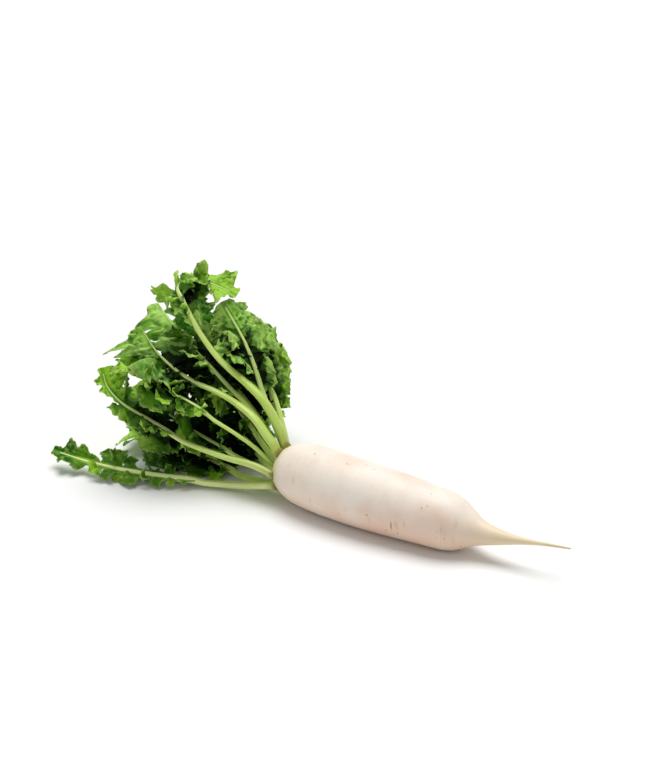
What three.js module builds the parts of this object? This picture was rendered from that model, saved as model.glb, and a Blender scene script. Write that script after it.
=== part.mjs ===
// A daikon radish with its leaf tops, lying on its side.
// Millimetres, +Z up. The long white root lies along X with its tail towards +X and its crown
// towards -X. The origin is on the surface it rests on, in the middle of the root's flat underside.
import * as THREE from "three";

// Driving dimensions of the root.
const CROWN_X = -110; // the crown's face, where the leaf stalks start
const CROWN_HEIGHT = 32; // height of the crown's centre above the surface
const CROWN_RADIUS = 19.2; // the face that carries the leaf stalks
const ROOT_LENGTH = 308; // crown face to the end of the tail
const FLAT_DEPTH = 1.1; // how far the underside is pressed flat

// Radius of the root at a distance from the crown face: [distance, radius].
const ROOT_PROFILE = [
  [0, CROWN_RADIUS],
  [3, 21.6],
  [9, 25.4],
  [20, 29.7],
  [36, 32.1],
  [70, 32.5],
  [110, 31.7],
  [150, 30.2],
  [184, 28.0],
  [197, 24.6],
  [208, 18.4],
  [219, 12.6],
  [236, 8.0],
  [258, 4.1],
  [280, 2.0],
  [ROOT_LENGTH, 0.7],
];

// How far the root bends sideways: [distance, sideways].
const ROOT_BEND = [
  [0, 0],
  [30, -0.8],
  [70, -4.6],
  [110, -6],
  [165, -4.4],
  [205, -2.4],
  [244, -1.6],
  [285, 1],
  [ROOT_LENGTH, 4],
];

// Height of the root's middle behind its thick body: [distance, height].
const TAIL_HEIGHT = [
  [184, 26.9],
  [205, 24.8],
  [224, 23.6],
  [244, 24.4],
  [264, 26.6],
  [285, 28.8],
  [ROOT_LENGTH, 29.8],
];

// Driving dimensions of every leaf.
const BLADE_THICKNESS = 0.7;
const STALK_GAP = 0.4; // between a blade and the stalk under it, and a stalk and the crown
const STALK_DEPTH = 0.72; // of a stalk's half width
const RIB_END = 1.4; // width of the midrib where it runs out
const WING = 1.3; // how far the blade reaches past the stalk between lobes
const TURN_OUT = 0.1; // share of a leaf's line over which it turns away from the crown's face
const LEAF_FLOOR = 0.6; // lowest that the middle of a blade comes to the surface
const LEAF_EASE = 6; // height over which a drooping lobe flattens out above the surface

// Side lobes: lengths and widths are shares of the leaf's own lobe size, angles are in radians,
// and each pair is the least and the most that a lobe can draw.
const LOBE_LENGTH = [0.85, 1.2];
const LOBE_WIDTH = [0.38, 0.5];
const LOBE_SWEEP = [0.3, 0.8]; // towards the leaf's tip
const LOBE_TILT = [-0.15, 0.35]; // up from the blade
const LOBE_TWIST = [-0.2, 0.2]; // on top of the leaf's own
const LOBE_CUP = [-0.3, 0.3];
const LOBE_SAG = [0.5, 1.4]; // downwards, in full where the lobe is level
const LOBE_CURL = [-0.3, 0.3];
const LOBE_WAVE = 0.22; // of the lobe's half width

// End lobes.
const END_FOLD = 0.3; // how far each half is folded up from the blade
const END_SAG = 0.026; // bend for each millimetre outwards, in full where the lobe is level
const END_SWEEP = 0.7; // how far the rim runs ahead of its stations
const END_WAVE = 0.13; // of the lobe's half width
const END_NOTCHES = 3;
const END_NOTCH_DEPTH = 0.14;

// How finely the solids are cut.
const ROOT_SIDES = 28;
const ROOT_RINGS = 34;
const RING_BUNCHING = 0.22; // how much closer together the rings are at the crown
const STALK_SIDES = 6;
const PETIOLE_STATIONS = 8; // rings of a stalk before its blade starts
const CELL_SEGMENTS = 3; // segments of a blade for each pair of side lobes
const END_SEGMENTS = 6;
const LOBE_ROWS = [0.28, 0.55, 0.8, 1];
const END_ROWS = [0.34, 0.68, 1];

// One entry for each leaf. Points are the line along the top of its stalk, from the crown's centre.
// facing is which way the upper side looks, from the crown to the tip, bare is the share of the line
// without a blade, end is the share of the blade that its end lobe takes, twist turns the side lobes
// like louvres, and sides makes the lobes on the left and on the right of the stalk larger or smaller.
const LEAVES = [
  {
    name: "leaf_near_low",
    points: [
      [0, -11.3, -8.8],
      [-26, -12, -17],
      [-60, -20, -22],
      [-104, -38, -22.5],
      [-150, -53, -21],
      [-196, -60, -20],
      [-238, -66, -15],
    ],
    facing: [[0, 0.3, 1], [0, -0.5, 0.85]],
    stalk: [11.6, 8.5],
    bare: 0.36,
    end: 0.34,
    pairs: 4,
    lobe: 22,
    endLobe: 18,
    twist: 0.3,
    seed: 1,
    sides: [0.5, 0.95],
  },
  {
    name: "leaf_near_side",
    points: [
      [0, -14, 3],
      [-25, -16, 8],
      [-61, -19, 9],
      [-105, -26, 17],
      [-142, -32, 31],
      [-168, -37, 43],
      [-186, -37, 57],
      [-196, -32, 74],
    ],
    facing: [[0, 0.5, 0.85], [0.2, 0.3, 0.9], [0.7, -0.2, 0.6]],
    stalk: [11.4, 7],
    bare: 0.52,
    end: 0.4,
    pairs: 3,
    lobe: 25,
    endLobe: 20,
    twist: 0.5,
    seed: 4,
    sides: [0.6, 1.1],
  },
  {
    name: "leaf_near_high",
    points: [
      [0, -6.7, 12.6],
      [-16, -6, 28],
      [-35, -3, 44],
      [-63, 0, 55],
      [-94, 0, 63],
      [-124, 0, 73],
      [-150, 0, 89],
      [-172, 2, 112],
    ],
    facing: [[0, -0.1, -1], [-0.4, -0.3, -0.8], [-1, -0.2, -0.2]],
    stalk: [11.4, 7.5],
    bare: 0.56,
    end: 0.44,
    pairs: 3,
    lobe: 30,
    endLobe: 29,
    twist: 0.5,
    seed: 4,
    sides: [1.2, 1],
  },
  {
    name: "leaf_top",
    points: [
      [0, 5.4, 13.3],
      [-14, 9, 34],
      [-31, 12, 56],
      [-52, 14, 70],
      [-73, 15, 81],
      [-91, 15, 94],
      [-107, 16, 110],
      [-119, 17, 127],
      [-131, 21, 142],
      [-144, 30, 149],
      [-145, 43, 154],
      [-134, 54, 153],
      [-114, 61, 147],
      [-98, 67, 139],
    ],
    facing: [[0, -0.3, -1], [-0.5, 0.1, -0.9], [-0.8, 0.2, -0.5], [-0.7, -0.1, 0.6], [0.2, -0.1, 0.9]],
    stalk: [11.4, 6],
    bare: 0.58,
    end: 0.42,
    pairs: 3,
    lobe: 29,
    endLobe: 26,
    twist: 0.5,
    seed: 10,
  },
  {
    name: "leaf_far_high",
    points: [
      [0, 13.6, 4.4],
      [-16, 24, 12],
      [-34, 41, 25],
      [-53, 62, 40],
      [-76, 85, 54],
      [-100, 105, 64],
      [-124, 121, 69],
    ],
    facing: [[0, -1, 0.2], [0.3, -0.3, 1]],
    stalk: [11.4, 7],
    bare: 0.3,
    end: 0.4,
    pairs: 4,
    lobe: 32,
    endLobe: 26,
    twist: 0.55,
    seed: 15,
    sides: [1, 0.78],
  },
  {
    name: "leaf_far_low",
    points: [
      [0, 11.9, -8],
      [-22, 20, -16],
      [-48, 38, -21.5],
      [-80, 62, -22],
      [-112, 84, -22],
      [-140, 102, -21],
      [-166, 118, -18],
    ],
    facing: [[0, -0.3, 1], [0, 0.1, 1]],
    stalk: [11.4, 7.5],
    bare: 0.33,
    end: 0.4,
    pairs: 4,
    lobe: 35,
    endLobe: 29,
    twist: 0.45,
    seed: 17,
  },
  {
    name: "leaf_under",
    points: [
      [0, 0.5, -14.3],
      [-26, 1, -19.5],
      [-58, 6, -22.5],
      [-96, 14, -23],
      [-134, 22, -22],
      [-170, 28, -21],
      [-206, 32, -18],
    ],
    facing: [[0, 0, 1], [0, 0, 1]],
    stalk: [11.4, 8],
    bare: 0.32,
    end: 0.4,
    pairs: 4,
    lobe: 37,
    endLobe: 30,
    twist: 0.45,
    seed: 17,
  },
  {
    name: "leaf_inner_near",
    points: [
      [0, -5.2, 3],
      [-25, -8, 21],
      [-46, -10, 31],
      [-67, -13, 40],
      [-87, -16, 49],
      [-108, -20, 58],
      [-130, -24, 66],
      [-154, -26, 77],
      [-178, -26, 85],
    ],
    facing: [[0, 0.6, 0.8], [0.3, 0, 1]],
    stalk: [7, 5.5],
    bare: 0.46,
    end: 0.42,
    pairs: 4,
    lobe: 23,
    endLobe: 23,
    twist: 0.5,
    seed: 17,
  },
  {
    name: "leaf_inner_far",
    points: [
      [0, 8.8, 8.2],
      [-14, 21, 28],
      [-32, 35, 50],
      [-52, 47, 69],
      [-72, 59, 87],
      [-92, 72, 104],
      [-110, 84, 118],
    ],
    facing: [[0, -0.5, -1], [-0.5, 0.1, -0.9], [-0.4, 0.4, -0.8]],
    stalk: [6, 5],
    bare: 0.42,
    end: 0.42,
    pairs: 4,
    lobe: 30,
    endLobe: 26,
    twist: 0.5,
    seed: 27,
  },
  {
    name: "leaf_inner_low_far",
    points: [
      [0, 5.2, -3],
      [-24, 14, 4],
      [-52, 30, 12],
      [-82, 46, 22],
      [-112, 60, 34],
      [-140, 72, 48],
      [-164, 82, 64],
    ],
    facing: [[0, -0.3, 1], [0.3, 0, 1]],
    stalk: [7, 5.5],
    bare: 0.32,
    end: 0.42,
    pairs: 4,
    lobe: 36,
    endLobe: 30,
    twist: 0.5,
    seed: 27,
  },
  {
    name: "leaf_inner_high",
    points: [
      [0, -1.5, 6],
      [-20, 4, 25],
      [-46, 10, 46],
      [-77, 18, 63],
      [-107, 26, 77],
      [-136, 34, 91],
      [-163, 42, 105],
      [-186, 50, 118],
    ],
    facing: [[0, 0, -1], [-0.6, 0.15, -0.8], [-1, 0.1, 0]],
    stalk: [7, 5.5],
    bare: 0.38,
    end: 0.42,
    pairs: 4,
    lobe: 32,
    endLobe: 27,
    twist: 0.55,
    seed: 26,
  },
  {
    name: "leaf_inner_back",
    points: [
      [0, 0.3, 0.2],
      [-24, 15, 12],
      [-48, 31, 26],
      [-80, 46, 40],
      [-112, 59, 54],
      [-138, 71, 76],
      [-155, 79, 99],
      [-162, 84, 118],
    ],
    facing: [[0, 0, -1], [-0.5, 0.2, -0.8], [-0.6, 0.5, -0.6]],
    stalk: [4.8, 4.6],
    bare: 0.56,
    end: 0.42,
    pairs: 3,
    lobe: 26,
    endLobe: 25,
    twist: 0.5,
    seed: 10,
  },
  {
    name: "leaf_inner_top",
    points: [
      [0, 4.2, 4.2],
      [-18, 14, 27],
      [-36, 24, 52],
      [-53, 33, 80],
      [-70, 40, 103],
      [-87, 45, 121],
      [-104, 50, 137],
    ],
    facing: [[0, -0.5, -1], [-0.4, 0.3, -0.8], [-0.6, 0.6, -0.3]],
    stalk: [6.6, 5.2],
    bare: 0.42,
    end: 0.42,
    pairs: 4,
    lobe: 27,
    endLobe: 22,
    twist: 0.5,
    seed: 27,
  },
  {
    name: "leaf_inner_low",
    points: [
      [0, -1.5, -5.8],
      [-26, -1, -4],
      [-58, 2, -1],
      [-94, 6, 4],
      [-130, 10, 12],
      [-164, 14, 22],
      [-194, 16, 36],
    ],
    facing: [[0, 0, 1], [0, 0, 1]],
    stalk: [7, 5.5],
    bare: 0.34,
    end: 0.42,
    pairs: 4,
    lobe: 37,
    endLobe: 29,
    twist: 0.5,
    seed: 81,
  },
];

const UP = new THREE.Vector3(0, 0, 1);
const OUTWARD = new THREE.Vector3(-1, 0, 0); // out of the crown's face

// Smooth step from 0 to 1 as x goes from a to b.
function smooth(a, b, x) {
  const t = Math.min(1, Math.max(0, (x - a) / (b - a)));
  return t * t * (3 - 2 * t);
}

function lerp(a, b, t) {
  return a + (b - a) * t;
}

// Value of a table of [position, value] rows at x, on a smooth curve through them.
function along(table, x) {
  let i = 0;
  while (i < table.length - 2 && x > table[i + 1][0]) i++;
  const [p0, p1, p2, p3] = [i - 1, i, i + 1, i + 2].map(
    (k) => table[Math.min(table.length - 1, Math.max(0, k))],
  );
  const span = p2[0] - p1[0];
  const slope = (a, b) => ((b[1] - a[1]) / Math.max(1e-9, b[0] - a[0])) * span;
  const t = Math.min(1, Math.max(0, (x - p1[0]) / span));
  const m1 = slope(p0, p2);
  const m2 = slope(p1, p3);
  const [t2, t3] = [t * t, t * t * t];
  return (
    (2 * t3 - 3 * t2 + 1) * p1[1] +
    (t3 - 2 * t2 + t) * m1 +
    (3 * t2 - 2 * t3) * p2[1] +
    (t3 - t2) * m2
  );
}

// A repeatable number from 0 to 1 for a leaf's seed and the place that it is drawn for.
function draw(seed, place) {
  const x = Math.sin(seed * 127.1 + place * 311.7) * 43758.5453;
  return x - Math.floor(x);
}

// A closed geometry from points and triangles.
function solidFrom(points, triangles) {
  const geometry = new THREE.BufferGeometry();
  const flat = points.flatMap((p) => [p.x, p.y, p.z]);
  geometry.setAttribute("position", new THREE.Float32BufferAttribute(flat, 3));
  geometry.setIndex(triangles.flat());
  geometry.computeVertexNormals();
  return geometry;
}

// Rings of the same number of points, closed by a fan at each end.
function ringsToSolid(rings, firstCentre, lastCentre) {
  const sides = rings[0].length;
  const points = [...rings.flat(), firstCentre, lastCentre];
  const triangles = [];
  for (let r = 0; r < rings.length - 1; r++)
    for (let i = 0; i < sides; i++) {
      const [a, b] = [r * sides + i, r * sides + ((i + 1) % sides)];
      triangles.push([a, b, b + sides], [a, b + sides, a + sides]);
    }
  const last = (rings.length - 1) * sides;
  for (let i = 0; i < sides; i++) {
    const j = (i + 1) % sides;
    triangles.push([points.length - 2, j, i], [points.length - 1, last + i, last + j]);
  }
  return solidFrom(points, triangles);
}

// Middle of the root at a distance from the crown face: [sideways, height].
function rootMiddle(distance) {
  const side = along(ROOT_BEND, distance);
  if (distance > TAIL_HEIGHT[0][0]) return [side, along(TAIL_HEIGHT, distance)];
  const lying = along(ROOT_PROFILE, distance) - FLAT_DEPTH;
  return [side, lerp(CROWN_HEIGHT, lying, smooth(8, 75, distance))];
}

function rootGeometry() {
  const rings = [];
  for (let r = 0; r <= ROOT_RINGS; r++) {
    const share = r / ROOT_RINGS;
    const distance = ROOT_LENGTH * lerp(share, share ** 3, RING_BUNCHING);
    const radius = along(ROOT_PROFILE, distance);
    const [side, height] = rootMiddle(distance);
    rings.push(
      Array.from({ length: ROOT_SIDES }, (_, i) => {
        const angle = (2 * Math.PI * i) / ROOT_SIDES;
        const y = side + radius * Math.cos(angle);
        const z = height + radius * Math.sin(angle);
        return new THREE.Vector3(CROWN_X + distance, y, Math.max(0, z));
      }),
    );
  }
  const tip = rootMiddle(ROOT_LENGTH);
  return ringsToSolid(
    rings,
    new THREE.Vector3(CROWN_X, 0, CROWN_HEIGHT),
    new THREE.Vector3(CROWN_X + ROOT_LENGTH, ...tip),
  );
}

// The line of a leaf's stalk with its frame: place, along, side and upper direction by arc share.
function leafLine(leaf) {
  const curve = new THREE.CatmullRomCurve3(
    leaf.points.map((p) => new THREE.Vector3(...p)),
    false,
    "catmullrom",
    0.5,
  );
  const facing = leaf.facing.map((f) => new THREE.Vector3(...f).normalize());
  return {
    at(share) {
      const u = Math.min(1, Math.max(0, share));
      const place = curve.getPointAt(u);
      const ahead = OUTWARD.clone().lerp(curve.getTangentAt(u), smooth(0, TURN_OUT, u)).normalize();
      const step = Math.min(facing.length - 2, Math.floor(u * (facing.length - 1)));
      const turn = smooth(step, step + 1, u * (facing.length - 1));
      const upper = facing[step].clone().lerp(facing[step + 1], turn);
      upper.addScaledVector(ahead, -upper.dot(ahead)).normalize();
      const side = upper.clone().cross(ahead);
      return { place, ahead, side, upper };
    },
  };
}

// Half width of a leaf's stalk at an arc share.
function stalkHalf(leaf, share) {
  const [wide, slim] = leaf.stalk;
  const petiole = lerp(wide, slim, smooth(0, leaf.bare, share));
  const rib = smooth(leaf.bare, 1, share);
  return 0.5 * lerp(petiole, RIB_END, rib);
}

function stalkGeometry(leaf, line, shares) {
  const petiole = Array.from(
    { length: PETIOLE_STATIONS },
    (_, i) => (leaf.bare * i) / PETIOLE_STATIONS,
  );
  const rings = [...petiole, ...shares].map((share, r) => {
    const { place, side, upper } = line.at(share);
    const half = stalkHalf(leaf, share);
    const deep = half * STALK_DEPTH;
    const middle = place
      .clone()
      .addScaledVector(upper, -(deep * Math.sin(Math.PI / 3) + BLADE_THICKNESS / 2 + STALK_GAP));
    return Array.from({ length: STALK_SIDES }, (_, i) => {
      const angle = (2 * Math.PI * i) / STALK_SIDES;
      const point = middle
        .clone()
        .addScaledVector(side, half * Math.cos(angle))
        .addScaledVector(upper, deep * Math.sin(angle));
      if (r === 0) point.x = -STALK_GAP;
      return point;
    });
  });
  const centre = (ring) =>
    ring.reduce((sum, p) => sum.add(p), new THREE.Vector3()).divideScalar(ring.length);
  return ringsToSolid(rings, centre(rings[0]), centre(rings[rings.length - 1]));
}

// A sheet of points and triangles, thickened to a closed solid with like triangles on both faces.
class Sheet {
  constructor() {
    this.points = [];
    this.triangles = [];
  }
  add(point) {
    return this.points.push(point) - 1;
  }
  // a, b, c, d run round a four-sided cell, anticlockwise seen from above.
  quad(a, b, c, d) {
    const ac = this.points[a].distanceTo(this.points[c]);
    const bd = this.points[b].distanceTo(this.points[d]);
    if (ac <= bd) this.triangles.push([a, b, c], [a, c, d]);
    else this.triangles.push([a, b, d], [b, c, d]);
  }
  // Joins two rows of the same length. turned is true where the rows run clockwise.
  join(row, next, turned) {
    for (let i = 0; i < row.length - 1; i++)
      if (turned) this.quad(row[i], next[i], next[i + 1], row[i + 1]);
      else this.quad(row[i], row[i + 1], next[i + 1], next[i]);
  }
  thicken(thickness) {
    const normals = this.points.map(() => new THREE.Vector3());
    const edges = new Map();
    for (const t of this.triangles) {
      const [a, b, c] = t.map((i) => this.points[i]);
      const normal = b.clone().sub(a).cross(c.clone().sub(a));
      t.forEach((i) => normals[i].add(normal));
      for (let k = 0; k < 3; k++) edges.set(t[k] + "," + t[(k + 1) % 3], [t[k], t[(k + 1) % 3]]);
    }
    const n = this.points.length;
    const offset = (amount) =>
      this.points.map((p, i) => p.clone().addScaledVector(normals[i].clone().normalize(), amount));
    const points = [...offset(thickness / 2), ...offset(-thickness / 2)];
    const triangles = this.triangles.flatMap(([a, b, c]) => [
      [a, b, c],
      [c + n, b + n, a + n],
    ]);
    for (const [a, b] of edges.values())
      if (!edges.has(b + "," + a)) triangles.push([b, a, a + n], [b, a + n, b + n]);
    return solidFrom(points, triangles);
  }
}

// Half width of a side lobe along its length, as a share of its widest: narrow at its base, full
// past the middle and rounded off at its end.
function lobeOutline(u) {
  return (0.45 + 0.55 * smooth(0.1, 0.55, u)) * (1 - 0.68 * smooth(0.6, 1, u));
}

// Half width of the end lobe along its length, as a share of its widest.
function endOutline(s) {
  const oval = Math.sin(Math.PI * (0.08 + 0.86 * s)) ** 0.8;
  return oval * (1 + END_NOTCH_DEPTH * Math.cos(2 * Math.PI * END_NOTCHES * s));
}

// Lifts a place that is near or below the surface to just above it, keeping the order of heights.
function liftOff(point) {
  const floor = LEAF_FLOOR - CROWN_HEIGHT;
  const height = point.z - floor;
  if (height < LEAF_EASE) point.z = floor + LEAF_EASE * Math.exp(height / LEAF_EASE - 1);
  return point;
}

// How far a strip that bends by an even amount reaches along and off its first direction.
function bent(length, bend) {
  const flat = Math.abs(bend) < 1e-4;
  return {
    along: flat ? length : (length * Math.sin(bend)) / bend,
    off: flat ? 0 : (length * (1 - Math.cos(bend))) / bend,
  };
}

// A direction turned by an angle towards another one square to it.
function turnedTo(from, to, angle) {
  return from.clone().multiplyScalar(Math.cos(angle)).addScaledVector(to, Math.sin(angle));
}

// How much of its size a leaf's lobes keep on the left or the right of its stalk.
function sideShare(leaf, sign) {
  const [left, right] = leaf.sides ?? [1, 1];
  return sign > 0 ? left : right;
}

// A side lobe as a function of u along it and q across it, from its base on the wing's edge.
function sideLobe(leaf, line, wingEdge, middleShare, baseHalf, sign, index) {
  const place = index * 9 + (sign > 0 ? 400 : 0);
  const random = (k, [least, most]) => lerp(least, most, draw(leaf.seed, place + k));
  const { ahead, side, upper } = line.at(middleShare);
  const grown = smooth(-0.3, 0.6, (middleShare - leaf.bare) / (1 - leaf.bare));
  const length = leaf.lobe * sideShare(leaf, sign) * grown * random(0, LOBE_LENGTH);
  const width = length * random(1, LOBE_WIDTH);
  const sweep = random(2, LOBE_SWEEP);
  const tilt = random(3, LOBE_TILT);
  const twist = leaf.twist + random(4, LOBE_TWIST);
  const cup = random(5, LOBE_CUP);
  const phase = random(6, [0, 2 * Math.PI]);
  const outward = side.clone().multiplyScalar(sign);
  const level = turnedTo(outward, ahead, sweep);
  const across = turnedTo(ahead, outward, -sweep);
  const axis = turnedTo(level, upper, tilt);
  const normal = axis.clone().cross(across).multiplyScalar(-sign);
  const bend = random(7, LOBE_SAG) * -normal.dot(UP) + random(8, LOBE_CURL);
  const base = wingEdge(middleShare, sign);
  return (u, q) => {
    const turn = bend * u;
    const turned = twist * smooth(0, 0.5, u);
    const reach = bent(length * u, turn);
    const over = turnedTo(normal, axis, -turn);
    const cross = turnedTo(across, over, turned);
    const top = turnedTo(over, across, -turned);
    const half = width * lobeOutline(u);
    const wave = LOBE_WAVE * half * Math.sin(7 * u + 1.8 * q + phase);
    const middle = base.clone().addScaledVector(axis, reach.along).addScaledVector(normal, reach.off);
    const free = middle
      .clone()
      .addScaledVector(cross, q * half)
      .addScaledVector(top, (half * cup + wave) * q * q);
    const held = wingEdge(middleShare + q * baseHalf, sign).add(middle).sub(base);
    return liftOff(held.lerp(free, smooth(0, 0.4, u)));
  };
}

// Place on the end lobe: s along it, v from the wing's edge to the rim.
function endPoint(leaf, line, wingEdge, share, s, v, sign) {
  const { ahead, side, upper } = line.at(share);
  const size = leaf.endLobe * sideShare(leaf, sign);
  const reach = Math.max(0.4, size * endOutline(s) - stalkHalf(leaf, share) - WING);
  const width = reach * v;
  const turn = -END_SAG * width * upper.dot(UP);
  const { along: out, off } = bent(width, turn);
  const phase = draw(leaf.seed, sign > 0 ? 901 : 902) * 2 * Math.PI;
  const wave = END_WAVE * reach * v * v * Math.sin(9 * s + phase);
  const point = wingEdge(share, sign)
    .addScaledVector(side, sign * (out * Math.cos(END_FOLD) - off * Math.sin(END_FOLD)))
    .addScaledVector(upper, out * Math.sin(END_FOLD) + off * Math.cos(END_FOLD) + wave)
    .addScaledVector(ahead, END_SWEEP * width * (1 - s));
  return liftOff(point);
}

function bladeGeometry(leaf, line, shares) {
  const sheet = new Sheet();
  const cells = leaf.pairs * CELL_SEGMENTS;
  const wingEdge = (share, sign) => {
    const { place, side } = line.at(share);
    return place.addScaledVector(side, sign * (stalkHalf(leaf, share) + WING));
  };
  const spine = shares.map((share) => sheet.add(line.at(share).place));
  for (const sign of [1, -1]) {
    const turned = sign < 0;
    const edge = shares.map((share) => sheet.add(wingEdge(share, sign)));
    sheet.join(spine, edge, turned);
    // Side lobes, each on two segments of the wing's edge, set one segment on from those opposite.
    for (let pair = 0; pair < leaf.pairs; pair++) {
      const first = pair * CELL_SEGMENTS + (sign > 0 ? 0 : 1);
      const middleShare = shares[first + 1];
      const baseHalf = shares[first + 1] - shares[first];
      const lobe = sideLobe(leaf, line, wingEdge, middleShare, baseHalf, sign, pair);
      let row = edge.slice(first, first + 3);
      for (const u of LOBE_ROWS) {
        const next = [-1, 0, 1].map((q) => sheet.add(lobe(u, q)));
        sheet.join(row, next, turned);
        row = next;
      }
    }
    // The end lobe, in rows out from the wing's edge.
    let row = edge.slice(cells);
    for (const v of END_ROWS) {
      const next = row.map((_, i) => {
        const s = i / END_SEGMENTS;
        return sheet.add(endPoint(leaf, line, wingEdge, shares[cells + i], s, v, sign));
      });
      sheet.join(row, next, turned);
      row = next;
    }
  }
  return sheet.thicken(BLADE_THICKNESS);
}

const rootSkin = new THREE.MeshStandardMaterial({ color: 0xeee3d2, roughness: 0.5, metalness: 0 });
const stalkGreen = new THREE.MeshStandardMaterial({ color: 0xa9c466, roughness: 0.45, metalness: 0 });
const bladeGreen = new THREE.MeshStandardMaterial({ color: 0x3f7d2c, roughness: 0.55, metalness: 0 });

function mesh(name, geometry, material) {
  const made = new THREE.Mesh(geometry, material);
  made.name = name;
  return made;
}

const daikon = new THREE.Group();
daikon.add(mesh("root", rootGeometry(), rootSkin));

const top = new THREE.Group();
top.position.set(CROWN_X, 0, CROWN_HEIGHT);
for (const leaf of LEAVES) {
  const line = leafLine(leaf);
  const segments = leaf.pairs * CELL_SEGMENTS;
  const bladeLength = 1 - leaf.bare;
  const shares = [];
  const endStart = 1 - bladeLength * leaf.end;
  for (let i = 0; i < segments; i++) shares.push(lerp(leaf.bare, endStart, i / segments));
  for (let i = 0; i <= END_SEGMENTS; i++) shares.push(lerp(endStart, 1, i / END_SEGMENTS));
  top.add(mesh(leaf.name + "_stalk", stalkGeometry(leaf, line, shares.slice(0, -1)), stalkGreen));
  top.add(mesh(leaf.name + "_blade", bladeGeometry(leaf, line, shares), bladeGreen));
}
daikon.add(top);

export default daikon;
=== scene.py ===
# A daikon radish with its leaf tops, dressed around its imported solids. Metres, +Z up.
import math

import bpy
import numpy as np
from mathutils import Matrix, Vector


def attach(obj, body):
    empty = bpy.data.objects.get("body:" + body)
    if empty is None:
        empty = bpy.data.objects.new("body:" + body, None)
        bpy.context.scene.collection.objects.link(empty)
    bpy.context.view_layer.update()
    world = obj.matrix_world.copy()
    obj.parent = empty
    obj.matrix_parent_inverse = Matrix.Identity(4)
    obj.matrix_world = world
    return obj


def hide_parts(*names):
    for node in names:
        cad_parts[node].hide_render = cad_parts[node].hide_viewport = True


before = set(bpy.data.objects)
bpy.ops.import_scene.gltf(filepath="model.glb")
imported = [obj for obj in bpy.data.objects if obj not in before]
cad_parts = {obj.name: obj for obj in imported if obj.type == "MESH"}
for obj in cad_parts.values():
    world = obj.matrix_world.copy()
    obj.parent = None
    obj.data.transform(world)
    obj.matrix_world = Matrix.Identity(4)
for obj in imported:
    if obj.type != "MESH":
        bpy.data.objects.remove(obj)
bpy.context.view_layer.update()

MM = 0.001

# ---- camera
AZIMUTH = math.radians(32)  # round from square on to the root
ELEVATION = math.radians(24)
LOOKS_AT = Vector((-94.97, 49.27, 103.65)) * MM
DISTANCE = 1.8
LENS = 85
SENSOR = 36
FARTHEST = 50  # metres


def add_camera():
    back = Vector((math.sin(AZIMUTH) * math.cos(ELEVATION),
                   -math.cos(AZIMUTH) * math.cos(ELEVATION),
                   math.sin(ELEVATION)))
    data = bpy.data.cameras.new("camera")
    data.lens = LENS
    data.sensor_width = SENSOR
    data.clip_end = FARTHEST
    camera = bpy.data.objects.new("camera", data)
    turn = back.to_track_quat("Z", "Y").to_matrix().to_4x4()
    camera.matrix_world = Matrix.Translation(LOOKS_AT + back * DISTANCE) @ turn
    bpy.context.scene.collection.objects.link(camera)
    bpy.context.scene.camera = camera


add_camera()

# ---- the root's own dimensions, in mm
# The crown's middle: the root's length and the leaves' lines are measured from it.
CROWN_X = -110.0
CROWN_HEIGHT = 32.0
CROWN = np.array([CROWN_X, 0, CROWN_HEIGHT])
CROWN_RADIUS = 19.2
ROOT_LENGTH = 308.0
FLAT_DEPTH = 1.1  # of the flat spot that the root rests on
SETTLES = (8, 75)  # distances from the crown between which it comes down to the floor
# Rows of distance from the crown, with the radius, the way off its straight line and the height of the tail.
ROOT_PROFILE = [
    (0, CROWN_RADIUS), (3, 21.6), (9, 25.4), (20, 29.7), (36, 32.1), (70, 32.5), (110, 31.7), (150, 30.2),
    (184, 28.0), (197, 24.6), (208, 18.4), (219, 12.6), (236, 8.0), (258, 4.1), (280, 2.0),
    (ROOT_LENGTH, 0.7),
]
ROOT_BEND = [
    (0, 0), (30, -0.8), (70, -4.6), (110, -6), (165, -4.4), (205, -2.4), (244, -1.6), (285, 1),
    (ROOT_LENGTH, 4),
]
TAIL_HEIGHT = [
    (184, 26.9), (205, 24.8), (224, 23.6), (244, 24.4), (264, 26.6), (285, 28.8), (ROOT_LENGTH, 29.8),
]

# ---- the leaves' own dimensions, in mm
STALK_GAP = 0.4  # between a stalk and its blade
STALK_DEPTH = 0.72  # of its width
SOLID_BLADE = 0.7  # thickness of the solids' blades
RIB_END = 1.4  # width of the midrib at the leaf's tip
WING = 1.3  # strip of blade beside the midrib, where no lobe stands
TURN_OUT = 0.1  # share of its length in which a stalk turns away from the crown
LEAF_FLOOR = 0.6  # lowest height of a leaf
LEAF_EASE = 6.0  # height below which it eases on to that
# Side lobes: the limits of each draw. Angles are in radians.
LOBE_LENGTH = (0.85, 1.2)  # of the leaf's own measure
LOBE_WIDTH = (0.38, 0.5)  # half width, as a share of the length
LOBE_SWEEP = (0.3, 0.8)  # towards the leaf's tip
LOBE_TILT = (-0.15, 0.35)  # upward
LOBE_TWIST = (-0.2, 0.2)  # about its own line
LOBE_CUP = (-0.3, 0.3)  # both edges up or down
LOBE_SAG = (0.5, 1.4)  # bend under its own weight
LOBE_CURL = (-0.3, 0.3)  # bend of its own
LOBE_WAVE = 0.22  # height of the waves, as a share of the half width
# The end lobe.
END_FOLD = 0.5  # angle by which its halves are raised
END_SAG = 0.026  # bend for each mm out
END_SWEEP = 0.5  # towards the tip, as a share of the way out
END_WAVE = 0.13  # height of the waves, as a share of the half width
END_NOTCHES = 3
END_NOTCH_DEPTH = 0.14
# Steps of the solids' blades, for each pair of side lobes and for the end lobe.
CELL_SEGMENTS = 3
END_SEGMENTS = 6
# Places of the draws: for each pair, further on for its left side, and for the end lobe's two halves.
PAIR_DRAWS = 9
LEFT_DRAWS = 400
END_DRAWS = (901, 902)

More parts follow.
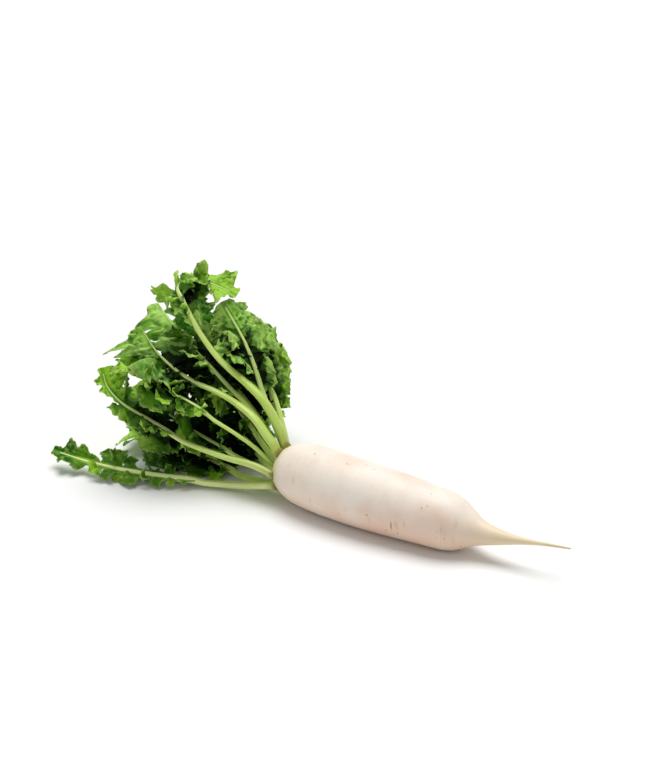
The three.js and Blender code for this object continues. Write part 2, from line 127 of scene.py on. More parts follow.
# Each leaf has a name, points along the top of its stalk from the crown's middle, the ways its upper face
# looks from foot to tip, the stalk's width at the crown and at the blade, the shares of its length that are
# bare and in the end lobe, its pairs of side lobes, their length, the end lobe's half width, the lobes'
# twist, the seed of its draws and, where the sides differ, the size of its left and right lobes.
KEYS = (
    "name", "points", "facing", "stalk", "bare", "end", "pairs", "lobe", "end_lobe", "twist", "seed",
    "sides",
)
LEAVES = [
    ("leaf_near_low",
     [(0, -11.3, -8.8), (-26, -12, -17), (-60, -20, -22), (-104, -38, -22.5), (-150, -53, -21),
      (-196, -60, -20), (-238, -66, -15)],
     [(0, 0.3, 1), (0, -0.5, 0.85)], (11.6, 8.5), 0.36, 0.34, 4, 22, 18, 0.3, 1, (0.5, 0.95)),
    ("leaf_near_side",
     [(0, -14, 3), (-25, -16, 8), (-61, -19, 9), (-105, -26, 17), (-142, -32, 31), (-168, -37, 43),
      (-186, -37, 57), (-196, -32, 74)],
     [(0, 0.5, 0.85), (0.2, 0.3, 0.9), (0.7, -0.2, 0.6)],
     (11.4, 7), 0.52, 0.4, 3, 25, 20, 0.5, 4, (0.6, 1.1)),
    ("leaf_near_high",
     [(0, -6.7, 12.6), (-16, -6, 28), (-35, -3, 44), (-63, 0, 55), (-94, 0, 63), (-124, 0, 73),
      (-150, 0, 89), (-172, 2, 112)],
     [(0, -0.1, -1), (-0.4, -0.3, -0.8), (-1, -0.2, -0.2)],
     (11.4, 7.5), 0.56, 0.44, 3, 30, 29, 0.5, 4, (1.2, 1)),
    ("leaf_top",
     [(0, 5.4, 13.3), (-14, 9, 34), (-31, 12, 56), (-52, 14, 70), (-73, 15, 81), (-91, 15, 94),
      (-107, 16, 110), (-119, 17, 127), (-131, 21, 142), (-144, 30, 149), (-145, 43, 154), (-134, 54, 153),
      (-114, 61, 147), (-98, 67, 139)],
     [(0, -0.3, -1), (-0.5, 0.1, -0.9), (-0.8, 0.2, -0.5), (-0.7, -0.1, 0.6), (0.2, -0.1, 0.9)],
     (11.4, 6), 0.58, 0.42, 3, 29, 26, 0.5, 10),
    ("leaf_far_high",
     [(0, 13.6, 4.4), (-16, 24, 12), (-34, 41, 25), (-53, 62, 40), (-76, 85, 54), (-100, 105, 64),
      (-124, 121, 69)],
     [(0, -1, 0.2), (0.3, -0.3, 1)], (11.4, 7), 0.3, 0.4, 4, 32, 26, 0.55, 15, (1, 0.78)),
    ("leaf_far_low",
     [(0, 11.9, -8), (-22, 20, -16), (-48, 38, -21.5), (-80, 62, -22), (-112, 84, -22), (-140, 102, -21),
      (-166, 118, -18)],
     [(0, -0.3, 1), (0, 0.1, 1)], (11.4, 7.5), 0.33, 0.4, 4, 35, 29, 0.45, 17),
    ("leaf_under",
     [(0, 0.5, -14.3), (-26, 1, -19.5), (-58, 6, -22.5), (-96, 14, -23), (-134, 22, -22), (-170, 28, -21),
      (-206, 32, -18)],
     [(0, 0, 1), (0, 0, 1)], (11.4, 8), 0.32, 0.4, 4, 37, 30, 0.45, 17),
    ("leaf_inner_near",
     [(0, -5.2, 3), (-25, -8, 21), (-46, -10, 31), (-67, -13, 40), (-87, -16, 49), (-108, -20, 58),
      (-130, -24, 66), (-154, -26, 77), (-178, -26, 85)],
     [(0, 0.6, 0.8), (0.3, 0, 1)], (7, 5.5), 0.46, 0.42, 4, 23, 23, 0.5, 17),
    ("leaf_inner_far",
     [(0, 8.8, 8.2), (-14, 21, 28), (-32, 35, 50), (-52, 47, 69), (-72, 59, 87), (-92, 72, 104),
      (-110, 84, 118)],
     [(0, -0.5, -1), (-0.5, 0.1, -0.9), (-0.4, 0.4, -0.8)], (6, 5), 0.42, 0.42, 4, 30, 26, 0.5, 27),
    ("leaf_inner_low_far",
     [(0, 5.2, -3), (-24, 14, 4), (-52, 30, 12), (-82, 46, 22), (-112, 60, 34), (-140, 72, 48),
      (-164, 82, 64)],
     [(0, -0.3, 1), (0.3, 0, 1)], (7, 5.5), 0.32, 0.42, 4, 36, 30, 0.5, 27),
    ("leaf_inner_high",
     [(0, -1.5, 6), (-20, 4, 25), (-46, 10, 46), (-77, 18, 63), (-107, 26, 77), (-136, 34, 91),
      (-163, 42, 105), (-186, 50, 118)],
     [(0, 0, -1), (-0.6, 0.15, -0.8), (-1, 0.1, 0)], (7, 5.5), 0.38, 0.42, 4, 32, 27, 0.55, 26),
    ("leaf_inner_back",
     [(0, 0.3, 0.2), (-24, 15, 12), (-48, 31, 26), (-80, 46, 40), (-112, 59, 54), (-138, 71, 76),
      (-155, 79, 99), (-162, 84, 118)],
     [(0, 0, -1), (-0.5, 0.2, -0.8), (-0.6, 0.5, -0.6)], (4.8, 4.6), 0.56, 0.42, 3, 26, 25, 0.5, 10),
    ("leaf_inner_top",
     [(0, 4.2, 4.2), (-18, 14, 27), (-36, 24, 52), (-53, 33, 80), (-70, 40, 103), (-87, 45, 121),
      (-104, 50, 137)],
     [(0, -0.5, -1), (-0.4, 0.3, -0.8), (-0.6, 0.6, -0.3)], (6.6, 5.2), 0.42, 0.42, 4, 27, 22, 0.5, 27),
    ("leaf_inner_low",
     [(0, -1.5, -5.8), (-26, -1, -4), (-58, 2, -1), (-94, 6, 4), (-130, 10, 12), (-164, 14, 22),
      (-194, 16, 36)],
     [(0, 0, 1), (0, 0, 1)], (7, 5.5), 0.34, 0.42, 4, 37, 29, 0.5, 81),
]

# ---- what the fine pieces add, in mm
ROOT_SIDES = 128
ROOT_RINGS = 240
STALK_SIDES = 20
STALK_STATIONS = 90
CELLS = 7  # cuts in each step of the solids' blades
LOBE_CUTS = 22
END_CUTS = 16
WING_CUTS = 2
BLADE_THICKNESS = 0.5
RIM_THIN = 0.5  # share of the thickness left at the margin
LOWEST = 0.1  # lowest height of a blade's face

# Side lobes are wider and longer than the solids', on some leaves more so on the left or the right.
WIDER = 1.38
LONGER = 1.2
REACH = {
    "leaf_near_low": (1.6, 0.9),
    "leaf_near_side": (1.2, 1.35),
    "leaf_near_high": (1.2, 1.35),
    "leaf_top": (1.05, 1.12),
    "leaf_far_high": (1.3, 1.2),
    "leaf_far_low": (1.2, 1.4),
    "leaf_under": (1.4, 1.2),
    "leaf_inner_high": (1.2, 1.3),
    "leaf_inner_back": (1.4, 1.5),
    "leaf_inner_top": (1.4, 1.2),
}
# Lobes that the solids don't have: length beside the solids' lobes, tilt and twist.
SMALL_LOBE = (0.95, 0.7, 0.3)
OVER_LOBE = (0.85, 1.15, 0.2)
OVER_ROOT = 0.7  # place of its foot between the stalk's middle and the wing's edge
OVER_BASE = 0.4  # width of its foot beside the lobe's under it
OVER_OUT = 3  # how far its foot lies from the midrib, for the veins
OVER_CUTS = 12
SMALL_DRAWS = 1000
OVER_DRAWS = 2000
# Over lobes stand over the solids' (1), hang under them (-1) or aren't there (0), left and right of the
# stalk. On leaves that aren't named they take turns, and so do the small lobes of all but two leaves.
STANCE = {
    "leaf_near_low": (0, 0),
    "leaf_top": (-1, -1),
    "leaf_near_side": (-1, -1),
    "leaf_near_high": (-1, 1),
}
SMALL_BY_STANCE = ("leaf_near_side", "leaf_near_high")

# Frills and relief of the blades.
RUFFLE = 3.2  # height of the side lobes' wavy edge
END_RUFFLE = 4.0
EDGE_TEETH = 0.24  # depth of the teeth, as a share of the half width
END_TEETH = 0.12
LOBE_FOLD = (-0.25, 0.75)
VEIN_GAP = 5.2  # between side veins
VEIN_SLANT = 0.85
BLISTER = 1.7  # height of the creased swellings
QUILT = 0.55  # height of the pillows between side veins
CALM = (2.5, 7)  # distances from the midrib at which the relief starts and is whole

# The stalks and their midribs.
RIB_SUNK = 0.15  # share of the midrib's depth that its middle lies under the blade
GROOVE_DEPTH = 0.34
GROOVE_WIDTH = 0.42  # in radians
RIDGES = 7
RIDGE_HEIGHT = 0.018
FOOT_SWELL = 0.16
FOOT_END = 0.06  # share of the stalk's length that swells towards the crown
INTO_CROWN = 2.0  # how far the foot runs into the crown
STALK_TIP = 0.8

# Painted shade and painted light on the leaves and stalks, and how pale their lobes are, from 0 to 1.
RIB_UNSHADED = 0.75  # share left unshaded beside the midrib; painted shade darkens the rest
WING_TONE = (0, 0, RIB_UNSHADED, 0.5)
DIP_SHADE = 0.36  # how much painted shade darkens a dip of the crumples
DIP = (1.3, 1.0)  # depth of a full dip, seen from under and from above
BUNCH_SHADE = (0.33, 0.88)  # cover at which painted shade deep in the bunch starts and is whole
# Shifts of each leaf's lobes from their random paleness: the paler ones stand partly for sheen, a painted
# highlight; leaf_near_low's are darker.
PALER_LOBES = {
    "leaf_top": 0.7,
    "leaf_far_high": 0.45,
    "leaf_inner_far": 0.45,
    "leaf_inner_top": 0.22,
    "leaf_near_side": 0.2,
    "leaf_inner_high": 0.15,
    "leaf_near_low": -0.5,
}
# Painted light: how far a leaf's stalk is turned to a paler green, where the bunch shades it.
STALK_PAINTED_LIGHT = {"leaf_near_low": 0.75, "leaf_near_side": 0.2}

# The root's relief.
RING_SPREAD = 0.22  # how much wider the rings' spacing grows towards the tail
DOME_HEIGHT = 3.2
DOME_RINGS = (0.0, 0.12, 0.3, 0.5, 0.68, 0.82, 0.92, 0.98)  # shares of the crown's radius
RELIEF_GROWS = (0, 30)  # distances from the crown
RELIEF_FADES = (300, 200)
BULGE = 0.4
RING_HEIGHT = 0.07
DENTS = 26
DENT_SEED = 5
DENT_DEPTH = 0.32
DENT_PLACES = (14, 225)
DENT_LENGTHS = (2.2, 5.5)  # half lengths, round the root
DENT_WIDTHS = (0.7, 1.1)
DENT_SIDES = (0.35, 0.35 + math.pi)  # angles of the two rows in which fine roots grow
DENT_SPREAD = 0.5
TAIL_TIP = 0.6

# Scuffs on the root: place in mm, half length round the root, half width and strength.
MARKS = [
    ((33, -35, 24), 6.0, 1.2, 0.75),
    ((79, -29.7, 28.4), 1.6, 0.8, 0.5),
    ((-66, -11, 62.4), 1.8, 1.3, 0.55),
    ((-29, -12.8, 62.5), 1.4, 1.8, 0.5),
    ((-11, -6.7, 62.7), 1.2, 3.0, 0.6),
    ((-46, -16.2, 61.4), 1.0, 0.9, 0.45),
    ((-1, -9, 62.4), 0.9, 1.4, 0.45),
    ((6, -25, 54), 1.3, 0.8, 0.35),
    ((52, -31, 38), 1.5, 0.7, 0.35),
]

# ---- light and floor
FLOOR_HALF = 8
SKY = 0.42
SUN = 2.5
SUN_SPREAD = math.radians(42)
SUN_FROM = Vector((-0.14, 0.26, 1.0))


# ---- small mathematics
def smooth(a, b, x):
    """A smooth step from 0 at a to 1 at b."""
    t = np.clip((np.asarray(x, float) - a) / (b - a), 0, 1)
    return t * t * (3 - 2 * t)


def lerp(a, b, t):
    return a + (b - a) * t


def along(table, x):
    """A smooth curve through rows of (position, value), as the solids use."""
    rows = np.array(table, float)
    x = np.asarray(x, float)
    i = np.clip(np.searchsorted(rows[:, 0], x, side="left") - 1, 0, len(rows) - 2)
    p0, p1, p2, p3 = (rows[np.clip(i + k, 0, len(rows) - 1)] for k in (-1, 0, 1, 2))
    span = p2[..., 0] - p1[..., 0]
    m1 = (p2[..., 1] - p0[..., 1]) / np.maximum(1e-9, p2[..., 0] - p0[..., 0]) * span
    m2 = (p3[..., 1] - p1[..., 1]) / np.maximum(1e-9, p3[..., 0] - p1[..., 0]) * span
    t = np.clip((x - p1[..., 0]) / span, 0, 1)
    t2, t3 = t * t, t * t * t
    return (2 * t3 - 3 * t2 + 1) * p1[..., 1] + (t3 - 2 * t2 + t) * m1 \
        + (3 * t2 - 2 * t3) * p2[..., 1] + (t3 - t2) * m2


def draw(seed, place):
    """A number from 0 to 1 that looks random and is the same each time, as the solids use."""
    x = math.sin(seed * 127.1 + place * 311.7) * 43758.5453
    return x - math.floor(x)


def unit(v):
    return v / np.maximum(np.linalg.norm(v, axis=-1, keepdims=True), 1e-12)


def joined(*parts):
    """Points, or other rows, from their coordinates."""
    return np.stack(np.broadcast_arrays(*parts), -1)


def rows_out(n):
    """Shares at which n rows lie, from one step out to the whole way."""
    return (np.arange(1, n + 1) / n)[:, None]


def turned_to(start, end, angle):
    """The way start, turned by an angle towards end."""
    angle = np.asarray(angle)[..., None]
    return start * np.cos(angle) + end * np.sin(angle)


def bent(length, bend):
    """How far along and how far off its line a strip of this length ends once it is bent to an arc."""
    flat = np.abs(bend) < 1e-4
    safe = np.where(flat, 1, bend)
    return np.where(flat, length, length * np.sin(safe) / safe), \
        np.where(flat, 0, length * (1 - np.cos(safe)) / safe)


def waves(points, seed, lengths, weights):
    """Smooth noise at points: sums of slanted sine waves of the given lengths."""
    each, spread, size = 5, (0.8, 1.25), 2.2
    rng = np.random.default_rng(seed)
    total = np.zeros(points.shape[:-1])
    for length, weight in zip(lengths, weights):
        for _ in range(each):
            way = unit(rng.normal(size=3)) * 2 * math.pi / (length * rng.uniform(*spread))
            total += weight * np.sin(points @ way + rng.uniform(0, 2 * math.pi)) / size
    return total


# ---- meshes
def add_piece(name, points, faces, uv, tones, material):
    """A smooth mesh from points in mm, with a UV place and a tone (four numbers) for each point."""
    mesh = bpy.data.meshes.new(name)
    mesh.from_pydata((points * MM).tolist(), [], faces)
    mesh.update()
    loops = np.zeros(len(mesh.loops), np.int32)
    mesh.loops.foreach_get("vertex_index", loops)
    layer = mesh.uv_layers.new(name="UVMap")
    layer.data.foreach_set("uv", uv[loops].astype(np.float32).ravel())
    colours = mesh.color_attributes.new("tone", "FLOAT_COLOR", "POINT")
    colours.data.foreach_set("color", tones.astype(np.float32).ravel())
    mesh.polygons.foreach_set("use_smooth", np.ones(len(mesh.polygons), bool))
    mesh.materials.append(material)
    piece = bpy.data.objects.new(name, mesh)
    bpy.context.scene.collection.objects.link(piece)
    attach(piece, "root")
    return piece


def tube_faces(rings, sides):
    """Faces round a tube of rings, closed by fans to two more points: the first end's, then the last's."""
    numbers = np.arange(rings * sides).reshape(rings, sides)
    after = np.roll(numbers, -1, axis=1)
    faces = np.stack([numbers[:-1], after[:-1], after[1:], numbers[1:]], -1).reshape(-1, 4).tolist()
    first, last = rings * sides, rings * sides + 1
    faces += [[first, (i + 1) % sides, i] for i in range(sides)]
    faces += [[last, numbers[-1, i], numbers[-1, (i + 1) % sides]] for i in range(sides)]
    return faces


def crumple(points, uv):
    """How far each point of a blade is raised: creased swellings of two sizes, and pillows between veins."""
    swell = waves(points, seed=21, lengths=(15, 8), weights=(0.7, 0.5))
    fine = waves(points, seed=22, lengths=(5,), weights=(1,))
    creased = 1.2 * (np.abs(swell) - 0.35) + 0.35 * fine
    run, out = uv[:, 0], np.abs(uv[:, 1])
    pillows = np.abs(np.sin(math.pi * (run - VEIN_SLANT * out) / VEIN_GAP)) - 0.6
    return smooth(*CALM, out) * (BLISTER * creased + QUILT * pillows)


class Sheet:
    """A sheet of four-sided cells, thickened to a closed body.

    Each point carries its place among the veins, which is (along, away from the midrib), and its tone:
    underside, margin, the share not darkened by painted shade, and how pale the lobe is, each from 0 to 1."""

    def __init__(self):
        self.points, self.uv, self.tones, self.quads = [], [], [], []
        self.count = 0

    def add(self, points, uv, tones):
        """Adds points of any grid shape and gives their numbers in that shape."""
        shape = points.shape[:-1]
        n = int(np.prod(shape))
        self.points.append(points.reshape(-1, 3))
        self.uv.append(np.broadcast_to(uv, shape + (2,)).reshape(-1, 2))
        self.tones.append(np.broadcast_to(tones, shape + (4,)).reshape(-1, 4))
        self.count += n
        return (np.arange(n) + self.count - n).reshape(shape)

    def fill(self, numbers, turned):
        """Cells between the rows of a grid of point numbers."""
        a, b, c, d = numbers[:-1, :-1], numbers[:-1, 1:], numbers[1:, 1:], numbers[1:, :-1]
        cells = np.stack([a, b, c, d] if not turned else [a, d, c, b], -1)
        self.quads.append(cells.reshape(-1, 4))

    def closed(self, thickness):
        """The crumpled sheet with an upper face, a lower face and a rim: points, faces, UV and tones."""
        points, uv, tones = (np.concatenate(rows) for rows in (self.points, self.uv, self.tones))
        quads = np.concatenate(self.quads)
        normals = self.normals(points, quads)
        raised = crumple(points, uv)
        points = points + normals * raised[:, None]
        half = 0.5 * thickness * lerp(1, RIM_THIN, tones[:, 1:2])
        both = np.concatenate([points + normals * half, points - normals * half])
        n = len(points)
        faces = np.concatenate([quads, quads[:, ::-1] + n, self.rim(quads, n)])
        under = tones.copy()
        under[:, 0] = 1
        # Painted shade: each face's third tone drops where the crumple dips away from it.
        under[:, 2] *= 1 - DIP_SHADE * smooth(0, DIP[0], raised)
        tones[:, 0] = 0
        tones[:, 2] *= 1 - DIP_SHADE * smooth(0, -DIP[1], raised)
        return both, faces.tolist(), np.concatenate([uv, uv]), np.concatenate([tones, under])

    @staticmethod
    def normals(points, quads):
        """The way each point faces, from the cells round it."""
        corner = points[quads]
        normal = np.cross(corner[:, 2] - corner[:, 0], corner[:, 3] - corner[:, 1])
        normals = np.zeros_like(points)
        for k in range(4):
            np.add.at(normals, quads[:, k], normal)
        return unit(normals)

    @staticmethod
    def rim(quads, n):
        """Cells that join the n upper points to the lower ones along the sheet's open edges."""
        start, end = quads, np.roll(quads, -1, axis=1)
        ways = (start.astype(np.int64) * n + end).ravel()
        back = (end.astype(np.int64) * n + start).ravel()
        is_open = ~np.isin(ways, back)
        a, b = start.ravel()[is_open], end.ravel()[is_open]
        return np.stack([b, a, a + n, b + n], -1)


def paint_bunch_shade(pieces):
    """Painted shade: lowers the tone's third number where much foliage is round and above a blade's point.
    """
    cell, spare, blurs, full = 7.0 * MM, 6, 3, 80  # full is a percentile of the cells' points
    places = []
    for piece in pieces:
        co = np.zeros(len(piece.data.vertices) * 3, np.float32)
        piece.data.vertices.foreach_get("co", co)
        places.append(co.reshape(-1, 3))
    low = np.concatenate(places).min(0) - spare * cell
    shape = np.ceil((np.concatenate(places).max(0) + spare * cell - low) / cell).astype(int)
    grid = np.zeros(shape)
    for co in places:
        index = ((co - low) / cell).astype(int)
        np.add.at(grid, tuple(index.T), 1.0)
    grid = np.minimum(grid, np.percentile(grid[grid > 0], full))
    for axis in range(3):
        for _ in range(blurs):
            grid = (np.roll(grid, 1, axis) + grid + np.roll(grid, -1, axis)) / 3
    above = np.cumsum(grid[:, :, ::-1], axis=2)[:, :, ::-1] - grid
    cover = grid / grid.max() + 0.5 * above / above.max()
    for piece, co in zip(pieces, places):
        index = ((co - low) / cell).astype(int)
        inside = cover[tuple(index.T)]
        colours = piece.data.color_attributes["tone"]
        tones = np.zeros(len(co) * 4, np.float32)
        colours.data.foreach_get("color", tones)
        tones = tones.reshape(-1, 4)
        tones[:, 2] *= 1 - smooth(*BUNCH_SHADE, inside)
        colours.data.foreach_set("color", tones.ravel())


# ---- leaves
class LeafLine:
    """The line along the top of a leaf's stalk, by share of its length: place, ahead, side and upper."""

    def __init__(self, leaf):
        p = np.array(leaf["points"], float)
        self.points = np.concatenate([[2 * p[0] - p[1]], p, [2 * p[-1] - p[-2]]])
        self.spans = len(p) - 1
        self.facing = unit(np.array(leaf["facing"], float))
        self.steps = np.linspace(0, 1, 201)
        lengths = np.linalg.norm(np.diff(self.at_step(self.steps), axis=0), axis=1)
        self.lengths = np.concatenate([[0], np.cumsum(lengths)])
        self.length = self.lengths[-1]

    def at_step(self, t):
        p = np.clip(t, 0, 1) * self.spans
        i = np.minimum(np.floor(p).astype(int), self.spans - 1)
        w = (p - i)[..., None]
        x0, x1, x2, x3 = (self.points[i + k] for k in range(4))
        t0, t1 = 0.5 * (x2 - x0), 0.5 * (x3 - x1)
        return x1 + t0 * w + (-3 * x1 + 3 * x2 - 2 * t0 - t1) * w**2 + (2 * x1 - 2 * x2 + t0 + t1) * w**3

    def at(self, share):
        u = np.clip(np.asarray(share, float), 0, 1)
        t = np.interp(u * self.length, self.lengths, self.steps)
        place = self.at_step(t)
        tangent = unit(self.at_step(np.minimum(t + 1e-4, 1)) - self.at_step(np.maximum(t - 1e-4, 0)))
        outward = np.array([-1.0, 0, 0])
        ahead = unit(lerp(outward, tangent, smooth(0, TURN_OUT, u)[..., None]))
        parts = u * (len(self.facing) - 1)
        step = np.minimum(len(self.facing) - 2, np.floor(parts).astype(int))
        turn = smooth(0, 1, parts - step)[..., None]
        upper = lerp(self.facing[step], self.facing[step + 1], turn)
        upper = unit(upper - ahead * np.sum(upper * ahead, -1, keepdims=True))
        return place, ahead, np.cross(upper, ahead), upper


def stalk_half(leaf, share):
    """Half the width of the stalk, or of the midrib further out."""
    wide, slim = leaf["stalk"]
    petiole = lerp(wide, slim, smooth(0, leaf["bare"], share))
    return 0.5 * lerp(petiole, RIB_END, smooth(leaf["bare"], 1, share))


def lift_off(points):
    """Eases what is near or under the floor on to it."""
    floor = LEAF_FLOOR - CROWN_HEIGHT
    height = points[..., 2] - floor
    eased = floor + LEAF_EASE * np.exp(np.minimum(height / LEAF_EASE, 1) - 1)
    points[..., 2] = np.where(height < LEAF_EASE, eased, points[..., 2])
    return points


def leaf_shares(leaf):
    """Shares of the solids' stations: on the lobed part, then on the end lobe."""
    bare = leaf["bare"]
    segments = leaf["pairs"] * CELL_SEGMENTS
    end_start = 1 - (1 - bare) * leaf["end"]
    lobed = lerp(bare, end_start, np.arange(segments) / segments)
    return np.concatenate([lobed, lerp(end_start, 1, np.arange(END_SEGMENTS + 1) / END_SEGMENTS)])


def cut(stations, parts):
    """The same stations with each step between them cut in parts."""
    places = np.arange((len(stations) - 1) * parts + 1) / parts
    return np.interp(places, np.arange(len(stations)), stations)


def lobe_swell(u):
    """How a side lobe widens from its foot, as the solids' do."""
    return 0.45 + 0.55 * smooth(0.1, 0.55, u)


def lobe_outline(u):
    """Half width of a side lobe along its length, rounded off where the solid's is cut straight."""
    body = lobe_swell(u) * (1 - 0.5 * smooth(0.62, 1, u))
    return body * np.sqrt(np.clip(1 - smooth(0.8, 1.04, u) ** 2, 0.0, 1))


def end_outline(s):
    """Half width of the end lobe along its length: an oval with notches."""
    oval = np.sin(math.pi * (0.08 + 0.86 * s)) ** 0.8
    notch = np.cos(2 * math.pi * END_NOTCHES * s)
    return oval * (1 + END_NOTCH_DEPTH * notch - 0.16 * smooth(-0.2, -1, notch))


def teeth(x, seed):
    """Uneven teeth along an edge, from -1 to 1, for places in mm."""
    a, b, c = (draw(seed, 800 + k) * 6.3 for k in range(3))
    saw = np.sin(x * 0.95 + a + 0.9 * np.sin(x * 0.31 + b))
    return 0.55 * saw + 0.3 * np.sin(x * 0.43 + c) + 0.15 * np.sin(x * 2.1 + b)


def ruffle(x, seed):
    """A wavy edge, from about -1 to 1, for places in mm along it."""
    a, b, c = (draw(seed, 820 + k) * 6.3 for k in range(3))
    return 0.6 * np.sin(x * 0.5 + a + 1.1 * np.sin(x * 0.13 + c)) + 0.4 * np.sin(x * 0.27 + b)


def lobe_size(leaf, sign):
    """Size of a leaf's lobes beside its own measure, on the left (sign 1) or the right (-1) of its stalk."""
    on_right = sign < 0
    size = leaf.get("sides", (1, 1))[on_right]
    return size * REACH.get(leaf["name"], (LONGER, LONGER))[on_right]


def lobe_shade(leaf, own):
    """How pale a lobe is, from 0 to 1: a random draw, shifted on some leaves, partly as painted light. own
    is its seed.
    """
    return np.clip(draw(own, 7) + PALER_LOBES.get(leaf["name"], 0), 0, 1)


def lobe_stance(leaf, pair, sign):
    """1 for an extra lobe that stands over the large one, -1 for one that hangs under it, 0 for none."""
    in_turn = -1 if pair % 2 else 1
    return STANCE.get(leaf["name"], (in_turn, in_turn))[sign < 0]


def wing_edge(leaf, line, share, sign):
    """The outer edge of the strip of blade beside the midrib."""
    place, _, side, _ = line.at(share)
    return place + side * (sign * (stalk_half(leaf, share) + WING))[..., None]


def side_lobe(leaf, line, middle_share, base_half, sign, place, sheet, edge_row, extra=(1, 0, 0)):
    """A side lobe with the solid's own line, wider and frilled.

    It stands on edge_row, points of the sheet within base_half of middle_share. place is the first place
    of its draws, and extra is the length, tilt and twist that set an extra lobe apart."""
    def drawn(k, limits):
        return lerp(limits[0], limits[1], draw(leaf["seed"], place + k))

    own = leaf["seed"] * 100 + place
    short, more_tilt, more_twist = extra
    # its size, turns and bend
    grown = smooth(-0.3, 0.6, (middle_share - leaf["bare"]) / (1 - leaf["bare"]))
    length = leaf["lobe"] * lobe_size(leaf, sign) * grown * drawn(0, LOBE_LENGTH) * short
    width = length / LONGER * drawn(1, LOBE_WIDTH)
    twist = leaf["twist"] + drawn(4, LOBE_TWIST) + more_twist
    cup = drawn(5, LOBE_CUP)
    phase = drawn(6, (0, 2 * math.pi))
    _, ahead, side, upper = line.at(middle_share)
    axis, across, normal = lobe_ways(ahead, side * sign, upper, drawn(2, LOBE_SWEEP),
                                     drawn(3, LOBE_TILT) + more_tilt)
    normal = normal * -sign
    bend = drawn(7, LOBE_SAG) * -normal[2] + drawn(8, LOBE_CURL)
    # its grid: u from foot to tip, closer near the tip, and q from edge to edge
    u = rows_out(LOBE_CUTS)
    u, q = np.broadcast_arrays(lerp(u, 1 - (1 - u) ** 1.5, 0.4), np.linspace(-1, 1, len(edge_row)))
    rim = np.abs(q)
    turn, turned = bend * u, twist * smooth(0, 0.5, u)
    reach, off = bent(length * u, turn)
    over = turned_to(normal, axis, -turn)
    cross = turned_to(across, over, turned)
    top = turned_to(over, across, -turned)
    # its edges: teeth, waves, a frill and a fold along its middle
    solid_half = width * lobe_swell(u) * (1 - 0.68 * smooth(0.6, 1, u))
    half = WIDER * width * lobe_outline(u)
    half = half * (1 + EDGE_TEETH * rim * teeth(length * u * np.where(q > 0, 1, -1), own))
    wave = LOBE_WAVE * solid_half * np.sin(7 * u + 1.8 * q + phase)
    frill = RUFFLE * smooth(0.12, 0.55, u) * (
        rim**1.6 * ruffle(length * u * 1.2 + np.where(q > 0, 40, 0), own)
        + 0.7 * smooth(0.7, 1, u) * ruffle(half * q + 90, own + 3)
    )
    fold = drawn(9, LOBE_FOLD) * half * (rim - 0.35) * smooth(0.05, 0.4, u)
    ends = 1 - 0.12 * rim**2 * smooth(0.7, 1, u)
    ends = ends + 0.04 * teeth(half * q * 1.6, own + 5) * smooth(0.6, 1, u)
    # its points, held to the wing's edge at the foot
    base = wing_edge(leaf, line, middle_share, sign)
    middle = base + axis * (reach * ends)[..., None] + normal * off[..., None]
    free = middle + cross * (q * half)[..., None]
    free = free + top * ((solid_half * cup + wave) * q * q + frill + fold)[..., None]
    held = wing_edge(leaf, line, middle_share + q * base_half, sign) + middle - base
    points = lift_off(lerp(held, free, smooth(0, 0.4, u)[..., None]))
    uv = joined(length * u, q * np.maximum(half, 1))
    margin = np.maximum(rim**6, smooth(0.8, 1, u) ** 2)
    # Its third tone is painted shade at the lobe's foot, fading out towards its tip.
    numbers = sheet.add(points, uv, joined(0, margin, lerp(RIB_UNSHADED, 1, u), lobe_shade(leaf, own)))
    sheet.fill(np.concatenate([edge_row[None, :], numbers]), sign < 0)


def lobe_ways(ahead, outward, upper, sweep, tilt):
    """The ways along, across and square to a side lobe that sweeps ahead and tilts up."""
    level = turned_to(outward, ahead, sweep)
    across = turned_to(ahead, outward, -sweep)
    axis = turned_to(level, upper, tilt)
    return axis, across, np.cross(axis, across)


def end_lobe(leaf, line, shares, sign, sheet, edge_row):
    """One half of the end lobe, in rows out from the wing's edge."""
    place = END_DRAWS[sign < 0]
    own = leaf["seed"] * 100 + place
    phase = draw(leaf["seed"], place) * 2 * math.pi
    s, v = np.broadcast_arrays(np.linspace(0, 1, len(shares)), rows_out(END_CUTS))
    _, ahead, side, upper = line.at(shares)
    full = leaf["end_lobe"] * lobe_size(leaf, sign) * end_outline(s)
    reach = np.maximum(0.4, full - stalk_half(leaf, shares) - WING)
    run = s * line.length * (1 - shares[0])
    width = reach * v * (1 + END_TEETH * v**3 * teeth(run * 0.9, own))
    out, off = bent(width, -END_SAG * width * upper[:, 2])
    wave = END_WAVE * reach * v * v * np.sin(9 * s + phase)
    wave = wave + END_RUFFLE * v**2 * ruffle(run * 0.8, own) * smooth(0, 0.15, s) * smooth(1, 0.9, s)
    forward = END_SWEEP * width * (1 - s)
    cos, sin = math.cos(END_FOLD), math.sin(END_FOLD)
    points = wing_edge(leaf, line, shares, sign) \
        + side * (sign * (out * cos - off * sin))[..., None] \
        + upper * (out * sin + off * cos + wave)[..., None] \
        + ahead * forward[..., None]
    tones = joined(0, v**8, 1, lobe_shade(leaf, own))
    numbers = sheet.add(lift_off(points), joined(run + forward, 1 + width), tones)
    sheet.fill(np.concatenate([edge_row[None, :], numbers]), sign < 0)


